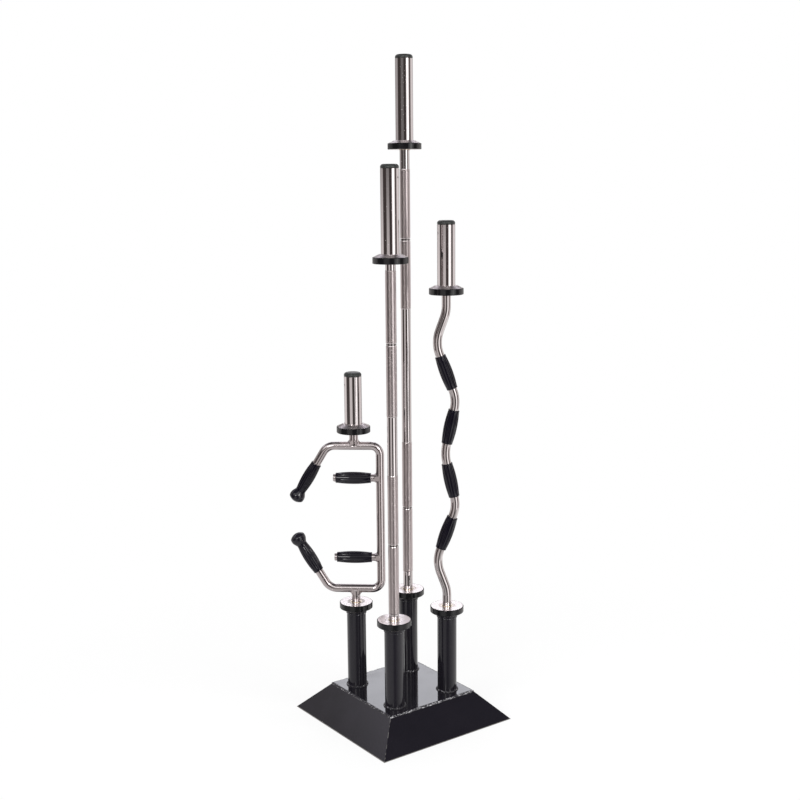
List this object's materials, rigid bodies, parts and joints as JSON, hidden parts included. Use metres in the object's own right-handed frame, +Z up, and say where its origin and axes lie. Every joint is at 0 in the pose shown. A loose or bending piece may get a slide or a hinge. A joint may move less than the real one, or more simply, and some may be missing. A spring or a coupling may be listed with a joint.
{
  "type": "barbell storage rack with bars",
  "caption": "Floor rack with a low sloped base and upright holder tubes, stocked with straight, curl and multi-grip barbells that lift out and turn in their sleeves.",
  "frame": {"origin": "centre of the base on the floor", "axes": "+Z up along the bars; +X and +Y along the sides of the base, with the short bar's tube at -X -Y and the long bar's tube at +X +Y"},
  "size_m": [0.4745, 0.456, 1.908],
  "materials": {
    "black_coat": "glossy black powder coat, worn bright along the lower edges",
    "sleeve_steel": "bright turned steel, smooth round the sleeve",
    "shaft_steel": "bright steel with matt knurled stretches",
    "bent_steel": "satin polished steel rod and tube",
    "rim_black": "satin black band, left bare of lettering",
    "cap_black": "dark satin moulding with a rounded edge",
    "grip_black": "glossy black moulded grip with long flutes",
    "knob_black": "glossy black knob",
    "bronze": "plain bronze bearing bush",
    "bolt_steel": "zinc plated washer and bolt"
  },
  "bodies": {
    "rack": {"top_plate": "black_coat", "front_skirt": "black_coat", "rear_skirt": "black_coat", "left_skirt": "black_coat", "right_skirt": "black_coat", "front_tube": "black_coat", "rear_tube": "black_coat", "left_tube": "black_coat", "right_tube": "black_coat", "mouth_rings": "black_coat", "tube_welds": "black_coat", "base_welds": "black_coat"},
    "long_bar_lower_end": {"long_bar_lower_sleeve": "sleeve_steel", "long_bar_lower_rim": "rim_black", "long_bar_lower_cap": "cap_black", "long_bar_lower_bushes": "bronze"},
    "long_bar_middle": {"long_bar_shaft": "shaft_steel", "long_bar_end_bolts": "bolt_steel"},
    "long_bar_upper_end": {"long_bar_upper_sleeve": "sleeve_steel", "long_bar_upper_rim": "rim_black", "long_bar_upper_cap": "cap_black", "long_bar_upper_bushes": "bronze"},
    "short_bar_lower_end": {"short_bar_lower_sleeve": "sleeve_steel", "short_bar_lower_rim": "rim_black", "short_bar_lower_cap": "cap_black", "short_bar_lower_bushes": "bronze"},
    "short_bar_middle": {"short_bar_shaft": "shaft_steel", "short_bar_end_bolts": "bolt_steel"},
    "short_bar_upper_end": {"short_bar_upper_sleeve": "sleeve_steel", "short_bar_upper_rim": "rim_black", "short_bar_upper_cap": "cap_black", "short_bar_upper_bushes": "bronze"},
    "curl_bar_lower_end": {"curl_bar_lower_sleeve": "sleeve_steel", "curl_bar_lower_rim": "rim_black", "curl_bar_lower_cap": "cap_black", "curl_bar_lower_bushes": "bronze"},
    "curl_bar_middle": {"curl_bar_shaft": "bent_steel", "curl_bar_grips": "grip_black", "curl_bar_end_bolts": "bolt_steel"},
    "curl_bar_upper_end": {"curl_bar_upper_sleeve": "sleeve_steel", "curl_bar_upper_rim": "rim_black", "curl_bar_upper_cap": "cap_black", "curl_bar_upper_bushes": "bronze"},
    "multi_bar_lower_end": {"multi_bar_lower_sleeve": "sleeve_steel", "multi_bar_lower_rim": "rim_black", "multi_bar_lower_cap": "cap_black", "multi_bar_lower_bushes": "bronze"},
    "multi_bar_middle": {"multi_bar_frame": "bent_steel", "multi_bar_spindles": "bent_steel", "multi_bar_posts": "bent_steel", "multi_bar_end_bolts": "bolt_steel", "multi_bar_short_grips": "grip_black", "multi_bar_long_grips": "grip_black", "multi_bar_end_knobs": "knob_black", "multi_bar_post_caps": "sleeve_steel"},
    "multi_bar_upper_end": {"multi_bar_upper_sleeve": "sleeve_steel", "multi_bar_upper_rim": "rim_black", "multi_bar_upper_cap": "cap_black", "multi_bar_upper_bushes": "bronze"}
  },
  "joints": [
    {"name": "long_bar_lift", "type": "slide", "parent": "rack", "child": "long_bar_lower_end", "axis": [0, 0, 1], "range_m": [0, 0.3]},
    {"name": "long_bar_turn", "type": "hinge", "parent": "long_bar_lower_end", "child": "long_bar_middle", "pos_m": [0.095, 0.095, 0.341], "axis": [0, 0, 1], "continuous": true},
    {"name": "long_bar_sleeve_spin", "type": "hinge", "parent": "long_bar_middle", "child": "long_bar_upper_end", "pos_m": [0.095, 0.095, 1.646], "axis": [0, 0, 1], "continuous": true},
    {"name": "short_bar_lift", "type": "slide", "parent": "rack", "child": "short_bar_lower_end", "axis": [0, 0, 1], "range_m": [0, 0.3]},
    {"name": "short_bar_turn", "type": "hinge", "parent": "short_bar_lower_end", "child": "short_bar_middle", "pos_m": [-0.095, -0.095, 0.341], "axis": [0, 0, 1], "continuous": true},
    {"name": "short_bar_sleeve_spin", "type": "hinge", "parent": "short_bar_middle", "child": "short_bar_upper_end", "pos_m": [-0.095, -0.095, 1.341], "axis": [0, 0, 1], "continuous": true},
    {"name": "curl_bar_lift", "type": "slide", "parent": "rack", "child": "curl_bar_lower_end", "axis": [0, 0, 1], "range_m": [0, 0.3]},
    {"name": "curl_bar_turn", "type": "hinge", "parent": "curl_bar_lower_end", "child": "curl_bar_middle", "pos_m": [0.095, -0.095, 0.341], "axis": [0, 0, 1], "continuous": true},
    {"name": "curl_bar_sleeve_spin", "type": "hinge", "parent": "curl_bar_middle", "child": "curl_bar_upper_end", "pos_m": [0.095, -0.095, 1.247], "axis": [0, 0, 1], "continuous": true},
    {"name": "multi_bar_lift", "type": "slide", "parent": "rack", "child": "multi_bar_lower_end", "axis": [0, 0, 1], "range_m": [0, 0.3]},
    {"name": "multi_bar_turn", "type": "hinge", "parent": "multi_bar_lower_end", "child": "multi_bar_middle", "pos_m": [-0.095, 0.095, 0.341], "axis": [0, 0, 1], "range_deg": [-100, 100]},
    {"name": "multi_bar_sleeve_spin", "type": "hinge", "parent": "multi_bar_middle", "child": "multi_bar_upper_end", "pos_m": [-0.095, 0.095, 0.85], "axis": [0, 0, 1], "continuous": true}
  ]
}
